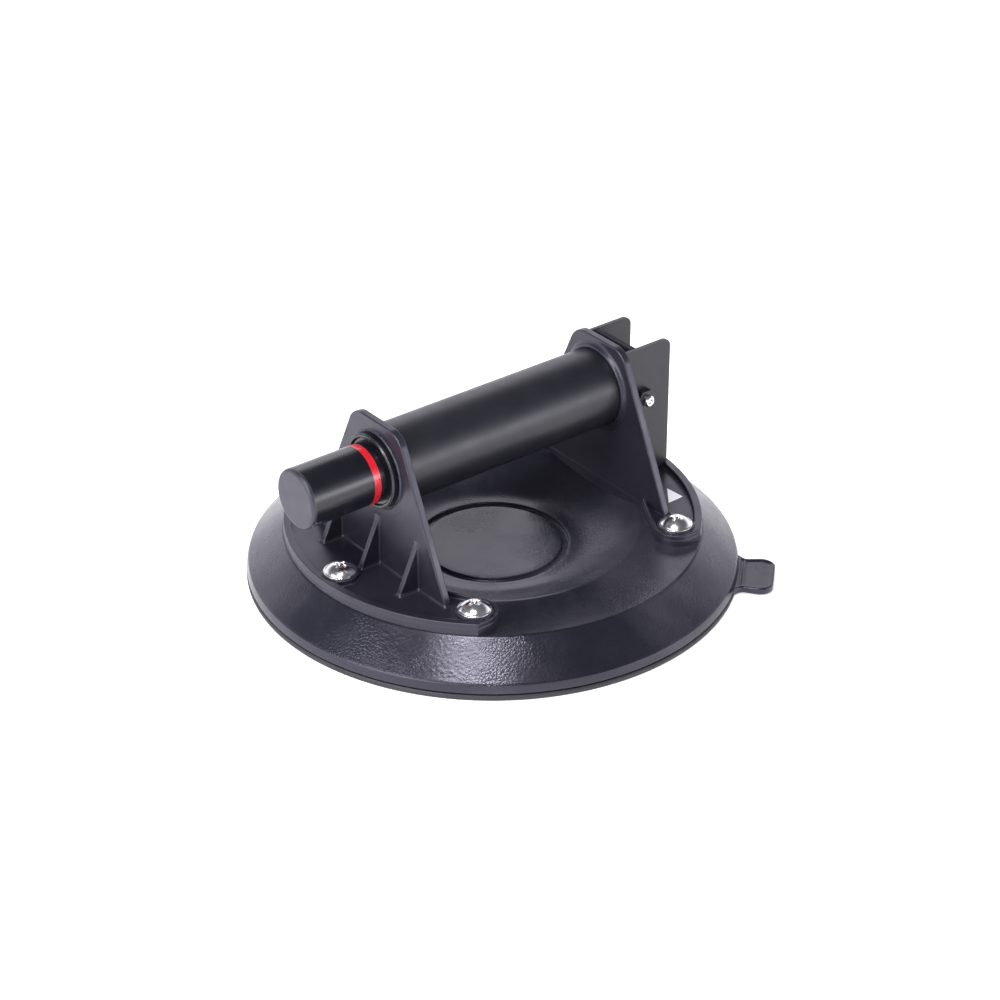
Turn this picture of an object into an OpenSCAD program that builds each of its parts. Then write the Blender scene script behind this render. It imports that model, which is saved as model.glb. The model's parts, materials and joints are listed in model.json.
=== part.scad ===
// Hand-held vacuum suction cup with a pump in its handle.
// Millimetres. The origin is the centre of the sealing plane, +Z is up, and the
// handle's axis runs along X with the pump plunger at the -X end.

/* [Pad] */
// Diameter of the pad over its sealing lip
pad_d = 200.6; // [200:0.1:206]
// Height of the flat ring that the feet stand on
deck_z = 19.3; // [18:0.1:20]
// Height of the sunken disc in the middle of the pad
dish_z = 9.7; // [9.2:0.1:12]
// Radius where the flat ring starts to sink towards the middle
deck_inner_r = 60; // [58.5:0.1:62]
// Radius of the sunken disc
dish_r = 33; // [31.8:0.1:36]
// Reach of the pull tab beyond the pad
tab_reach = 14.4; // [8:0.1:20]
// Width of the pull tab
tab_w = 22; // [14:0.5:26]
// Direction of the pull tab, in degrees from +X
tab_angle = -46; // [-80:1:-20]

/* [Feet] */
// Radius of the feet's outer arc
foot_r = 84.5; // [83:0.1:85]
// Thickness of a foot's floor
floor_t = 2.7; // [2.2:0.1:3.5]
// Height of the rim above the floor
rim_h = 2.2; // [1:0.1:3]
// Distance of a foot's middle screw from the origin
mid_screw_x = 75.4; // [74.5:0.1:76]
// X distance of a foot's end screws from the origin
end_screw_x = 51; // [50:0.1:52]
// Y distance of a foot's end screws from the origin
end_screw_y = 54; // [53:0.1:55]
// Diameter of a foot screw's head
head_d = 13.3; // [12:0.1:14]
// Height of a foot screw's head
head_h = 3.5; // [3:0.1:4.2]

/* [Supports] */
// Distance of a support's inner face from the middle
support_x = 54; // [53.5:0.1:54.5]
// Thickness of a support
support_t = 3.2; // [3:0.1:3.6]
// Height of a support's top edge
support_top = 85; // [84:0.1:88]
// Half width of a support where it meets the floor
support_half_w = 43.7; // [42:0.1:45]
// How much the half width shrinks for each millimetre of height
support_taper = 0.462; // [0.43:0.001:0.48]
// Radius of a support's top corners
support_corner_r = 5; // [2:0.5:7]
// Height of the gussets above the floor
gusset_h = 20.5; // [12:0.5:22]

/* [Handle and pump] */
// Height of the handle's axis
axis_z = 63.9; // [63.5:0.1:64.5]
// Outer diameter of the grip tube
grip_d = 32.8; // [32.4:0.1:34]
// Outer diameter of the plunger
plunger_d = 24.4; // [24:0.1:24.6]
// Travel of the plunger
stroke = 34; // [25:0.5:34]
// Distance of the plunger's end from the middle, when it is out
plunger_end = 95.2; // [95.2:0.1:97]
// Distance of the red band's centre from the middle
band_x = 64.8; // [62.5:0.1:66]

/* [Release lever] */
// X of the lever's pivot
pivot_x = 67.4; // [67.2:0.1:67.8]
// Height of the lever's pivot
pivot_z = 59.2; // [59:0.1:59.6]
// Height of the lever's top edge
lever_top = 82.2; // [78:0.1:83]
// Distance of the release stem below the pivot
stem_drop = 13.7; // [13.5:0.1:14]

/* [Hidden] */

smooth = 128;
small = 48;
moulding = [0.13, 0.13, 0.15];
black_metal = [0.08, 0.08, 0.09];
steel = [0.72, 0.73, 0.75];
chrome = [0.86, 0.86, 0.88];
brass = [0.78, 0.62, 0.3];
rubber = [0.1, 0.1, 0.12];

// Pad
pad_r = pad_d / 2;
lip_h = 2.3;
lip_inner_r = 88;
skirt_z = 7;
chamber_z = 3.4;
groove_r = 29.6;
groove_w = 3.4;
groove_h = 1.4;
dish_turn = 72;
plate_r = 83;
plate_bottom = 5;
plate_top = 7.5;
insert_r = 5;
insert_bore_r = 3;
tab_bottom = 0.6;
tab_top = 3.6;
tab_corner_r = 5.5;

// Feet
floor_z = deck_z + floor_t;
rim_top = floor_z + rim_h;
outer_rim_w = 3.2;
edge_rim_w = 1.2;
boss_r = 9;
head_seat_h = 2.6;
head_seat_z = floor_z + head_seat_h;
waist_y = 30;
screw_shank_r = 2.95;
screw_hole_r = 3.3;
gusset_t = 2.4;
gusset_reach = 9;
gusset_y = 25.4;

// Handle
grip_r = grip_d / 2;
grip_inner_r = 14.5;
socket_depth = 1.6;
support_back = support_x + support_t;
socket_x = support_x + socket_depth;
barrel_r = 14.4;
barrel_inner_r = 13.4;
barrel_front = -59;
barrel_rear = 16;
fit = 0.05;

// Plunger, drawn fully out
plunger_r = plunger_d / 2;
plunger_inner_r = 10.6;
cap_t = 2;
cap_back = cap_t - plunger_end;
band_w = 3;
band_depth = 0.5;
piston_front = -42;
piston_rear = -32;
piston_r = barrel_inner_r - 0.1;
well_r = 8.4;
well_wall = 2.1;
well_front = -70;
well_face = -74;
seal_front = -38.6;
seal_rear = -35.4;
seal_groove_r = 11.6;

// Valve block
block_front = 6;
block_rear = 20;
inlet_seat_x = 12;
inlet_bore_r = 6;
disc_t = 1.35;
pipe_y = 4;
pipe_z = 52.6;
pipe_r = 1.8;
pipe_front = 18.4;
pipe_rear = 61;

// Guard and manifold
guard_t = 1.5;
guard_half_w = 13.1;
guard_rear = 81.5;
guard_top = 82.3;
guard_corner_r = 3.6;
web_back = support_back + guard_t;
manifold_w = 21;
manifold_bottom = 39.5;
manifold_step = 49.5;
manifold_top = 55.2;
manifold_back = 63.2;
manifold_deep_back = 65.2;
hose_x = 61.2;
hose_y = pipe_y;
stem_y = -2;
stem_z = pivot_z - stem_drop;
stem_r = 1.4;
stem_front = 60.9;
stem_head = 67.2;
stem_tip = 68;
nose_r = 2.5;
nose_gap = 0.1;
bolt_r = 2.45;

// [y, z] of the screws that hold the manifold, and of the ones that hold the guard
manifold_screw_places = [[-7.2, 52.1], [7.8, 43]];
guard_screw_places = [[-7, 76], [7, 76]];

// Places of the three screws of one foot, for the side s (-1 front, 1 rear)
function foot_screw_places(s) = [[s * mid_screw_x, 0], [s * end_screw_x, end_screw_y],
    [s * end_screw_x, -end_screw_y]];
all_screw_places = concat(foot_screw_places(-1), foot_screw_places(1));

// Half width of a support at height z
function half_w(z) = support_half_w - support_taper * (z - floor_z);

// Point where the line from p touches the circle of radius r about c, on p's inner side
function touch(p, c, r) =
    let (v = c - p, far = norm(v), turn = atan2(v[1], v[0]) + asin(r / far),
        run = sqrt(far * far - r * r))
    p + run * [cos(turn), sin(turn)];

// Fall of the dish from its brow, 0 at t = 0, to its flat middle, 1 at t = 1
function ease(t) = 1 - pow(sin(dish_turn * (1 - t)) / sin(dish_turn), 2);

// Turns a shape drawn along Z so that it lies along the handle's axis, from x on
module along_x(x, y = 0, z = axis_z) {
    translate([x, y, z]) rotate([0, 90, 0]) children();
}

// A rod or a hole along X from x0 to x1
module rod_x(r, x0, x1, y = 0, z = axis_z, fn = small) {
    along_x(x0, y, z) cylinder(r = r, h = x1 - x0, $fn = fn);
}

// A ring along X from x0 to x1
module ring_x(r_in, r_out, x0, x1, y = 0, z = axis_z, fn = small) {
    difference() {
        rod_x(r_out, x0, x1, y, z, fn);
        rod_x(r_in, x0 - 1, x1 + 1, y, z, fn);
    }
}

// A rod along Z
module rod_z(r, z0, z1, x = 0, y = 0, fn = small) {
    translate([x, y, z0]) cylinder(r = r, h = z1 - z0, $fn = fn);
}

// A body turned about the handle's axis; points are [radius, x]
module turned_x(points, fn = smooth) {
    along_x(0) rotate_extrude($fn = fn) polygon([for (p = points) [p[0], p[1]]]);
}

// A coil spring along +Z with flat ends. The swept outline is bent round the axis so
// that the wire is round where it is cut along the axis.
module coil(mean_r, wire_r, length, turns) {
    reach = 360 * wire_r * turns / length;
    linear_extrude(height = length, twist = -360 * turns, slices = turns * 14)
        polygon([for (t = [0 : 45 : 315]) (mean_r + wire_r * cos(t))
            * [cos(reach * sin(t)), sin(reach * sin(t))]]);
}

// Top of the pad from the rim to the middle, as [radius, height]
dish_steps = 14;
pad_top = concat(
    [[pad_r - 0.5, 2.9], [pad_r - 0.1, 3.3], [pad_r - 1, skirt_z - 0.5], [pad_r - 1.5, skirt_z],
        [foot_r + 0.6, deck_z - 0.4], [foot_r - 0.3, deck_z]],
    [for (i = [0 : dish_steps]) let (t = i / dish_steps)
        [deck_inner_r - t * (deck_inner_r - dish_r), deck_z - ease(t) * (deck_z - dish_z)]],
    [[groove_r + groove_w / 2, dish_z], [groove_r + groove_w / 2 - 0.3, dish_z - groove_h],
        [groove_r - groove_w / 2 + 0.3, dish_z - groove_h], [groove_r - groove_w / 2, dish_z],
        [0, dish_z]]);

// Everything below the pad's top surface
module pad_envelope() {
    rotate_extrude($fn = smooth)
        polygon(concat([[0, -1], [pad_r - 0.5, -1]], pad_top));
}

module pull_tab() {
    end = pad_r + tab_reach;
    corner = tab_w / 2 + 0.8 - tab_corner_r;
    rotate([0, 0, tab_angle]) translate([0, 0, tab_bottom])
        linear_extrude(tab_top - tab_bottom) {
            polygon([[pad_r - 6, -tab_w / 2 - 5], [pad_r - 1.6, -tab_w / 2 - 3],
                [pad_r + 0.6, -tab_w / 2 - 0.6], [pad_r + 3, -tab_w / 2],
                [end - tab_corner_r, -tab_w / 2 - 0.8], [end - tab_corner_r, tab_w / 2 + 0.8],
                [pad_r + 3, tab_w / 2], [pad_r + 0.6, tab_w / 2 + 0.6],
                [pad_r - 1.6, tab_w / 2 + 3], [pad_r - 6, tab_w / 2 + 5]]);
            translate([end - tab_corner_r, -corner])
                square([tab_corner_r, 2 * corner]);
            for (s = [-1, 1]) translate([end - tab_corner_r, s * corner])
                circle(r = tab_corner_r, $fn = small);
        }
}

module rubber_pad() {
    color(rubber) difference() {
        union() {
            rotate_extrude($fn = smooth)
                polygon(concat([[0, chamber_z], [lip_inner_r - 2, chamber_z],
                    [lip_inner_r, lip_h], [pad_r - 1.7, lip_h], [pad_r - 1.7, 2.9]], pad_top));
            difference() {
                pull_tab();
                rod_z(pad_r - 2.6, -1, 6, fn = smooth);
                rod_z(pad_r + 0.1, -1, lip_h + 0.05, fn = smooth);
            }
            // Grip rings on the underside
            for (r = [24, 40, 56, 72]) difference() {
                rod_z(r + 1, lip_h, chamber_z + 0.5, fn = smooth);
                rod_z(r - 1, lip_h - 1, chamber_z + 1, fn = smooth);
            }
        }
        rod_z(plate_r + fit, plate_bottom, plate_top, fn = smooth);
        for (p = all_screw_places) rod_z(insert_r + fit, plate_bottom, deck_z + 1, p[0], p[1]);
        rod_z(3.65, 0, deck_z + 1, hose_x, hose_y);
        rod_z(5.2, 0, 4.7, hose_x, hose_y);
    }
}

module lip_seal() {
    color([0.07, 0.07, 0.08]) rotate_extrude($fn = smooth)
        polygon([[lip_inner_r, lip_h], [lip_inner_r + 1.2, 0.9], [lip_inner_r + 4, 0],
            [pad_r - 0.4, 0], [pad_r, 0.4], [pad_r, 1.7], [pad_r - 0.5, lip_h]]);
}

module backing_plate() {
    color(steel) difference() {
        rod_z(plate_r, plate_bottom, plate_top, fn = smooth);
        for (p = all_screw_places) rod_z(insert_bore_r, 0, 10, p[0], p[1]);
        rod_z(3.55, 0, 10, hose_x, hose_y);
    }
}

module threaded_inserts() {
    color(brass) for (p = all_screw_places) difference() {
        rod_z(insert_r, plate_top, deck_z, p[0], p[1]);
        rod_z(insert_bore_r, plate_top - 1, deck_z + 1, p[0], p[1]);
    }
}

// Plan of a foot on the rear side, shrunk by inset
module foot_plan(inset = 0) {
    boss = [end_screw_x, end_screw_y];
    hip = [support_x + inset, waist_y];
    flank = touch(hip, boss, boss_r - inset);
    side_y = end_screw_y + boss_r - inset;
    intersection() {
        circle(r = foot_r - inset, $fn = smooth);
        union() {
            polygon([hip, flank, boss, [end_screw_x, side_y], [foot_r, side_y],
                [foot_r, -side_y], [end_screw_x, -side_y], [boss[0], -boss[1]],
                [flank[0], -flank[1]], [hip[0], -hip[1]]]);
            for (s = [-1, 1]) translate([end_screw_x, s * end_screw_y])
                circle(r = boss_r - inset, $fn = small);
        }
    }
}

// Upright plate in the YZ plane, seen along X, with rounded top corners
module support_plan() {
    lean = sqrt(1 + support_taper * support_taper);
    corner_z = support_top - support_corner_r;
    corner_y = half_w(corner_z) - support_corner_r * lean;
    touch_y = corner_y + support_corner_r / lean;
    touch_z = corner_z + support_corner_r * support_taper / lean;
    foot_y = half_w(floor_z);
    polygon([[-foot_y, floor_z - floor_t], [foot_y, floor_z - floor_t], [foot_y, floor_z],
        [touch_y, touch_z], [corner_y, support_top], [-corner_y, support_top],
        [-touch_y, touch_z], [-foot_y, floor_z]]);
    for (s = [-1, 1]) translate([s * corner_y, corner_z])
        circle(r = support_corner_r, $fn = small);
}

// Triangular gusset behind a support, at the given y
module gusset(y) {
    translate([0, y + gusset_t / 2, 0]) rotate([90, 0, 0]) linear_extrude(gusset_t)
        polygon([[support_back - 1, floor_z - 1], [support_back + gusset_reach, floor_z - 1],
            [support_back + gusset_reach, floor_z + 0.6], [support_back, floor_z + gusset_h],
            [support_back - 1, floor_z + gusset_h]]);
}

// Foot and upright of the rear side, without its openings
module bracket_blank(gusset_places) {
    linear_extrude(floor_z) foot_plan();
    translate([0, 0, floor_z - 0.5]) linear_extrude(rim_h + 0.5) difference() {
        foot_plan();
        intersection() {
            circle(r = foot_r - outer_rim_w, $fn = smooth);
            foot_plan(edge_rim_w);
        }
    }
    for (p = foot_screw_places(1))
        rod_z(head_d / 2 + 0.7, floor_z - 0.5, head_seat_z, p[0], p[1]);
    translate([support_x, 0, 0]) rotate([90, 0, 90]) linear_extrude(support_t) support_plan();
    for (y = gusset_places) gusset(y);
    // Rounded collar where the grip tube enters
    turned_x([[grip_r - 1, support_x + 0.5], [grip_r - 1, support_x - 1.8],
        [grip_r + 0.9, support_x - 1.8], [grip_r + 1.6, support_x - 1.4],
        [grip_r + 2.1, support_x - 0.8], [grip_r + 2.4, support_x], [grip_r + 2.4, support_x + 0.5]]);
}

// Openings common to both brackets: pad shape, tube socket and screw holes
module bracket_openings() {
    pad_envelope();
    rod_x(grip_r + fit, support_x - 10, socket_x, fn = smooth);
    for (p = foot_screw_places(1)) rod_z(screw_hole_r, 0, 40, p[0], p[1]);
}

module front_bracket() {
    color(moulding) mirror([1, 0, 0]) difference() {
        union() {
            bracket_blank([-gusset_y, 0, gusset_y]);
            // Low ring that the bezel nut bears on
            rod_x(16.2, support_back - 1, support_back + 0.4, fn = smooth);
        }
        bracket_openings();
        rod_x(barrel_r + fit, support_x - 5, support_back + 5, fn = smooth);
    }
}

module rear_bracket() {
    color(moulding) difference() {
        bracket_blank([-gusset_y, gusset_y]);
        bracket_openings();
        rod_x(pipe_r + 0.2, support_x, support_back + 1, pipe_y, pipe_z);
        for (p = manifold_screw_places) rod_x(1.5, support_x, support_back + 1, p[0], p[1]);
        for (p = guard_screw_places) rod_x(1.5, support_x, support_back + 1, p[0], p[1]);
        rod_z(3.65, 0, floor_z + 1, hose_x, hose_y);
        rod_z(5.5, 0, deck_z + 1.4, hose_x, hose_y);
    }
}

module foot_screws() {
    dome_r = (head_d * head_d / 4 + head_h * head_h) / (2 * head_h);
    color(chrome) for (p = all_screw_places) translate([p[0], p[1], head_seat_z]) {
        rotate([180, 0, 0]) cylinder(r = screw_shank_r, h = head_seat_z - plate_bottom - 0.2,
            $fn = small);
        difference() {
            intersection() {
                cylinder(r = head_d / 2, h = head_h, $fn = small);
                translate([0, 0, head_h - dome_r]) sphere(r = dome_r, $fn = smooth);
            }
            // Cross recess
            for (a = [0, 90]) rotate([0, 0, a + 30]) translate([-2.6, -0.5, head_h - 1.9])
                cube([5.2, 1, 3]);
            translate([0, 0, head_h - 2.2]) cylinder(r1 = 0.7, r2 = 1.7, h = 3, $fn = small);
        }
    }
}

module grip_tube() {
    color(black_metal) ring_x(grip_inner_r, grip_r, -socket_x, socket_x, fn = smooth);
}

module pump_barrel() {
    color(steel) ring_x(barrel_inner_r, barrel_r, barrel_front, barrel_rear, fn = smooth);
}

module guide_bush() {
    color([0.85, 0.84, 0.8])
        ring_x(plunger_r + fit, barrel_inner_r - 0.02, barrel_front, piston_front - 0.1, fn = smooth);
}

// Ring on the end of the barrel; its front is dished around the plunger
module bezel_nut() {
    seat = -support_back - 0.4;
    front = barrel_front - 1.2;
    color(moulding) turned_x([[barrel_r + 0.02, seat], [barrel_r + 0.02, barrel_front],
        [plunger_r + 0.4, barrel_front], [plunger_r + 0.4, barrel_front - 0.3],
        [plunger_r + 1.7, front], [15, front], [15.4, front + 0.2], [15.6, front + 0.7],
        [15.6, seat]]);
}

module plunger_tube() {
    color(black_metal) difference() {
        ring_x(plunger_inner_r, plunger_r, cap_back, piston_front, fn = smooth);
        ring_x(plunger_r - band_depth, plunger_r + 1, -band_x - band_w / 2,
            -band_x + band_w / 2, fn = smooth);
        // Air outlet on the underside
        rod_z(1.2, axis_z - 20, axis_z, -82, 0);
    }
}

module plunger_cap() {
    edge = 1.5;
    color(moulding) turned_x(concat([[0, -plunger_end]],
        [for (a = [0 : 15 : 90]) [plunger_r - edge + edge * sin(a),
            edge - plunger_end - edge * cos(a)]],
        [[plunger_r, cap_back], [plunger_inner_r - fit, cap_back],
            [plunger_inner_r - fit, cap_back + 5], [plunger_inner_r - 1.8, cap_back + 5],
            [plunger_inner_r - 1.8, cap_back - 0.5], [0, cap_back - 0.5]]));
}

module indicator_band() {
    color("crimson") ring_x(plunger_r - band_depth, plunger_r + 0.02, -band_x - band_w / 2,
        -band_x + band_w / 2, fn = smooth);
}

// Piston head with a long well for the spring, plugged into the plunger tube
module piston() {
    color([0.8, 0.8, 0.78]) difference() {
        turned_x([[0, well_face], [well_r + well_wall, well_face], [well_r + well_wall, piston_front],
            [piston_r, piston_front], [piston_r, seal_front], [seal_groove_r, seal_front],
            [seal_groove_r, seal_rear], [piston_r, seal_rear], [piston_r, piston_rear],
            [well_r, piston_rear], [well_r, well_front], [0, well_front]]);
        rod_x(1.5, well_face - 1, well_front + 1);
    }
}

module piston_seal() {
    color(rubber) turned_x([[seal_groove_r + fit, seal_front + 0.1],
        [barrel_inner_r - 0.5, seal_front + 0.1], [barrel_inner_r - 0.02, seal_front + 0.9],
        [barrel_inner_r - 0.02, seal_rear - 0.9], [barrel_inner_r - 0.5, seal_rear - 0.1],
        [seal_groove_r + fit, seal_rear - 0.1]]);
}

module exhaust_valve() {
    color("firebrick") rod_x(4, well_face - 1.4, well_face - fit);
}

module exhaust_cage() {
    color(steel) difference() {
        rod_x(5.6, well_face - 3.4, well_face);
        rod_x(4.2, well_face - 2.6, well_face + 1);
        for (y = [-2.4, 2.4]) rod_x(1, well_face - 4, well_face, y);
    }
}

module return_spring() {
    color(steel) along_x(well_front) coil(7.4, 0.6, block_front - well_front, 11);
}

module valve_block() {
    color([0.75, 0.74, 0.7]) difference() {
        union() {
            rod_x(barrel_inner_r - 0.02, block_front, barrel_rear, fn = smooth);
            rod_x(barrel_r, barrel_rear, block_rear, fn = smooth);
        }
        ring_x(seal_groove_r + 0.2, barrel_r, block_front + 6.5, block_front + 8.6, fn = smooth);
        rod_x(inlet_bore_r, block_front - 1, inlet_seat_x);
        rod_x(2, inlet_seat_x - 1, block_rear - 1);
        rod_x(pipe_r + 0.02, pipe_front - 1.8, block_rear + 1, pipe_y, pipe_z);
        // Cross passage from the seat down to the chamber in front of the pipe
        translate([block_rear - 2.4, 0, axis_z]) rotate([atan2(-pipe_y, pipe_z - axis_z), 0, 0])
            cylinder(r = 0.7, h = norm([pipe_y, pipe_z - axis_z]), $fn = small);
    }
}

module barrel_seal() {
    color(rubber) turned_x([[seal_groove_r + 0.25, block_front + 6.7],
        [barrel_inner_r - 0.05, block_front + 6.7], [barrel_inner_r - 0.02, block_front + 7.5],
        [barrel_inner_r - 0.05, block_front + 8.4], [seal_groove_r + 0.25, block_front + 8.4]]);
}

module inlet_valve() {
    color("firebrick") rod_x(5, inlet_seat_x - fit - disc_t, inlet_seat_x - fit);
}

module inlet_spring() {
    color(steel) along_x(block_front + 1)
        coil(3.6, 0.2, inlet_seat_x - fit - disc_t - block_front - 1, 3);
}

module inlet_retainer() {
    color(steel) difference() {
        rod_x(inlet_bore_r - 0.02, block_front, block_front + 1);
        rod_x(2.2, block_front - 1, block_front + 2);
    }
}

module air_pipe() {
    color(brass) ring_x(1.1, pipe_r, pipe_front, pipe_rear, pipe_y, pipe_z);
}

module manifold() {
    color([0.16, 0.16, 0.18]) difference() {
        union() {
            translate([web_back, -manifold_w / 2, manifold_bottom])
                cube([manifold_back - web_back, manifold_w, manifold_top - manifold_bottom]);
            translate([web_back, -manifold_w / 2, manifold_bottom])
                cube([manifold_deep_back - web_back, manifold_w, manifold_step - manifold_bottom]);
            rod_z(1.6, manifold_bottom - 6, manifold_bottom + 1, hose_x, hose_y);
        }
        rod_x(pipe_r + 0.02, web_back - 1, pipe_rear, pipe_y, pipe_z);
        rod_z(0.9, manifold_bottom - 7, pipe_z, hose_x, hose_y);
        rod_x(1.7, web_back - 1, stem_front, stem_y, stem_z);
        rod_x(2.4, stem_front, stem_front + 1.1, stem_y, stem_z);
        rod_x(3, stem_front + 1.1, manifold_deep_back + 1, stem_y, stem_z);
        // Cross passage between the release bore and the hose passage
        translate([hose_x - 1, stem_y, stem_z]) rotate([-90, 0, 0])
            cylinder(r = 0.5, h = hose_y - stem_y, $fn = small);
        for (p = manifold_screw_places)
            rod_x(1.5, web_back - 1, manifold_deep_back + 1, p[0], p[1]);
    }
}

// Small pan-head screw pointing to -X with its head's underside at x
module small_screw(x, tip, y, z, r = 2.5, h = 1.5) {
    difference() {
        union() {
            rod_x(1.45, tip, x + 0.5, y, z);
            rod_x(r, x, x + h, y, z);
        }
        translate([x + h - 0.8, y - 1.5, z - 0.35]) cube([2, 3, 0.7]);
        translate([x + h - 0.8, y - 0.35, z - 1.5]) cube([2, 0.7, 3]);
    }
}

module manifold_screws() {
    color(steel) {
        small_screw(manifold_back, socket_x + 0.3, manifold_screw_places[0][0],
            manifold_screw_places[0][1]);
        small_screw(manifold_deep_back, socket_x + 0.3, manifold_screw_places[1][0],
            manifold_screw_places[1][1]);
    }
}

module release_stem() {
    color(brass) {
        rod_x(stem_r, stem_front, stem_head + 0.2, stem_y, stem_z);
        rod_x(2.7, stem_head, stem_tip, stem_y, stem_z);
    }
}

module stem_seal() {
    color(rubber) ring_x(stem_r + fit, 2.38, stem_front + 0.05, stem_front + 1, stem_y, stem_z);
}

module stem_spring() {
    color(steel) along_x(stem_front + 1.15, stem_y, stem_z)
        coil(2.2, 0.22, stem_head - stem_front - 1.15, 3);
}

// Bent sheet guard: a web against the support and two side cheeks
module lever_guard() {
    cheek_x = guard_rear - guard_corner_r;
    cheek_z = guard_top - guard_corner_r;
    color([0.17, 0.17, 0.19]) difference() {
        union() {
            translate([support_back, -guard_half_w, floor_z])
                cube([guard_t, 2 * guard_half_w, guard_top - floor_z]);
            for (y = [-guard_half_w, guard_half_w - guard_t])
                translate([0, y + guard_t, 0]) rotate([90, 0, 0]) linear_extrude(guard_t) {
                    polygon([[support_back, floor_z], [guard_rear, floor_z],
                        [guard_rear, cheek_z], [cheek_x, cheek_z], [cheek_x, guard_top],
                        [support_back, guard_top]]);
                    translate([cheek_x, cheek_z]) circle(r = guard_corner_r, $fn = small);
                }
        }
        translate([pivot_x, 20, pivot_z]) rotate([90, 0, 0])
            cylinder(r = bolt_r + fit, h = 40, $fn = small);
        rod_x(pipe_r + 0.2, support_back - 1, web_back + 1, pipe_y, pipe_z);
        for (p = concat(manifold_screw_places, guard_screw_places))
            rod_x(1.5, support_back - 1, web_back + 1, p[0], p[1]);
        // Notches that clear the foot's rim
        difference() {
            rod_z(foot_r + 2, floor_z - 1, rim_top + 0.2, fn = smooth);
            rod_z(foot_r - outer_rim_w - 0.1, floor_z - 2, rim_top + 1, fn = smooth);
        }
        // Window for the hose and its fitting
        translate([support_back - 1, hose_y - 6, floor_z - 1])
            cube([guard_t + 1.5, 12, manifold_bottom - floor_z + 0.5]);
    }
}

module guard_screws() {
    color(steel) for (p = guard_screw_places)
        small_screw(web_back, socket_x + 0.3, p[0], p[1]);
}

// Side view of the lever's upper arm, in the XZ plane
module lever_arm_plan() {
    circle_r = 5;
    translate([pivot_x, pivot_z]) circle(r = circle_r, $fn = small);
    polygon([[pivot_x - 4.9, pivot_z + 0.9], [60.7, 70.5], [60.7, lever_top - 1],
        [61.7, lever_top], [64.2, lever_top], [65.2, lever_top - 1], [65.4, 73],
        [pivot_x + 3.6, pivot_z + 3.4], [pivot_x, pivot_z]]);
    // Thumb ridges on the rear of the arm
    for (z = [74, 76.4, 78.8]) translate([65.2, z]) circle(r = 0.6, $fn = small);
}

module release_lever() {
    nose = [stem_tip + nose_gap + nose_r, stem_z];
    arm_w = 22.4;
    color([0.09, 0.09, 0.1]) difference() {
        union() {
            translate([0, arm_w / 2, 0]) rotate([90, 0, 0]) linear_extrude(arm_w) lever_arm_plan();
            // Lower arm that presses the release stem
            translate([0, 3, 0]) rotate([90, 0, 0]) linear_extrude(9) {
                polygon([[pivot_x + 0.9, pivot_z - 4], [nose[0] - nose_r, nose[1]],
                    [nose[0] + nose_r, nose[1]], [pivot_x + 4.6, pivot_z - 1.5]]);
                translate(nose) circle(r = nose_r, $fn = small);
            }
        }
        translate([pivot_x, 20, pivot_z]) rotate([90, 0, 0])
            cylinder(r = bolt_r + fit, h = 40, $fn = small);
    }
}

module lever_bolt() {
    tip_y = -18.1;
    color(chrome) translate([pivot_x, 0, pivot_z]) rotate([-90, 0, 0]) {
        translate([0, 0, tip_y + 0.5]) cylinder(r = bolt_r, h = guard_half_w - tip_y, $fn = small);
        translate([0, 0, tip_y]) cylinder(r1 = bolt_r - 0.5, r2 = bolt_r, h = 0.5, $fn = small);
        translate([0, 0, guard_half_w]) cylinder(r = 4.4, h = 2, $fn = small);
        translate([0, 0, guard_half_w + 2]) cylinder(r1 = 4.4, r2 = 3.4, h = 0.8, $fn = small);
    }
}

module lever_nut() {
    color(black_metal) translate([pivot_x, -guard_half_w, pivot_z]) rotate([90, 0, 0]) difference() {
        cylinder(r = 4.6, h = 2.7, $fn = 6);
        translate([0, 0, -1]) cylinder(r = bolt_r + 0.01, h = 5, $fn = small);
    }
}

module vacuum_hose() {
    color(rubber) translate([hose_x, hose_y, floor_z + 4]) difference() {
        cylinder(r = 2.4, h = manifold_bottom - floor_z - 4.1, $fn = small);
        translate([0, 0, -1]) cylinder(r = 1.62, h = 30, $fn = small);
    }
}

module hose_clips() {
    color(steel) for (z = [floor_z + 5.2, manifold_bottom - 3.4]) difference() {
        rod_z(2.9, z, z + 1.8, hose_x, hose_y);
        rod_z(2.42, z - 1, z + 3, hose_x, hose_y);
    }
}

module port_fitting() {
    color(brass) translate([hose_x, hose_y, 0]) difference() {
        union() {
            translate([0, 0, plate_bottom]) cylinder(r = 3.5, h = floor_z - plate_bottom, $fn = small);
            rotate([0, 0, 30]) translate([0, 0, floor_z]) cylinder(r = 4.2, h = 3.6, $fn = 6);
            translate([0, 0, floor_z + 3]) cylinder(r = 1.6, h = 6, $fn = small);
        }
        cylinder(r = 0.9, h = 60, $fn = small);
    }
}

module port_seal() {
    color(rubber) difference() {
        rod_z(5.4, deck_z + 0.05, deck_z + 1.35, hose_x, hose_y);
        rod_z(3.6, deck_z - 1, deck_z + 3, hose_x, hose_y);
    }
}

module port_filter() {
    color([0.6, 0.58, 0.5]) rod_z(5.1, chamber_z + 0.2, plate_bottom - 0.35, hose_x, hose_y);
}

// Plain three-sided sticker with nothing on it
module blank_label() {
    color("white") translate([0, 0, floor_z]) linear_extrude(0.15)
        polygon([[69.6, -27.4], [62.4, -36.6], [70.3, -36.4]]);
}

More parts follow.
